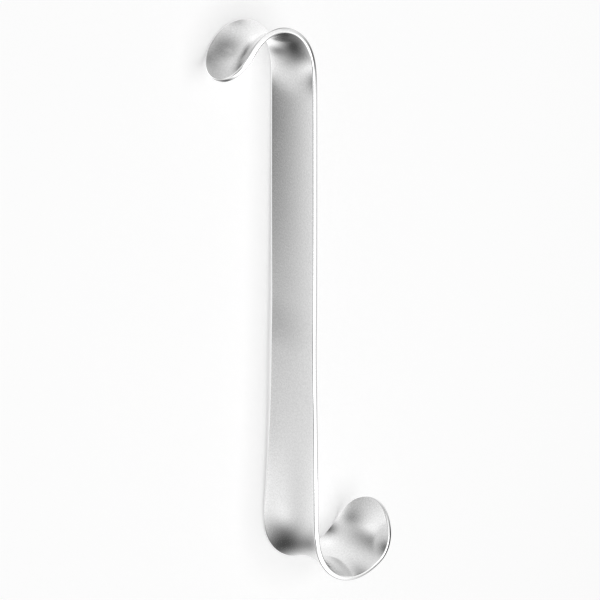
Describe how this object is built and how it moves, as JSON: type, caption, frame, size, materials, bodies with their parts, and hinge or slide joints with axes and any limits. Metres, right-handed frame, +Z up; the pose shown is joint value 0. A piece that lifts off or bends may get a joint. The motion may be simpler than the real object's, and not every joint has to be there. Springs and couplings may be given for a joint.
{
  "type": "handheld surgical retractor",
  "caption": "Double-ended handheld retractor: a flat steel strip handle bent at each end into a hooked, rounded blade, one small and one large, facing opposite ways.",
  "frame": {"origin": "centre of the bounding box's base, on the surface that the strip lies on", "axes": "+Y along the handle towards the small hook, +Z up across the strip's width, +X the way the large hook opens"},
  "size_m": [0.0582, 0.1604, 0.0236],
  "materials": {
    "steel": "fine satin polish, stainless steel"
  },
  "bodies": {
    "root": {"retractor": "steel"}
  },
  "joints": []
}
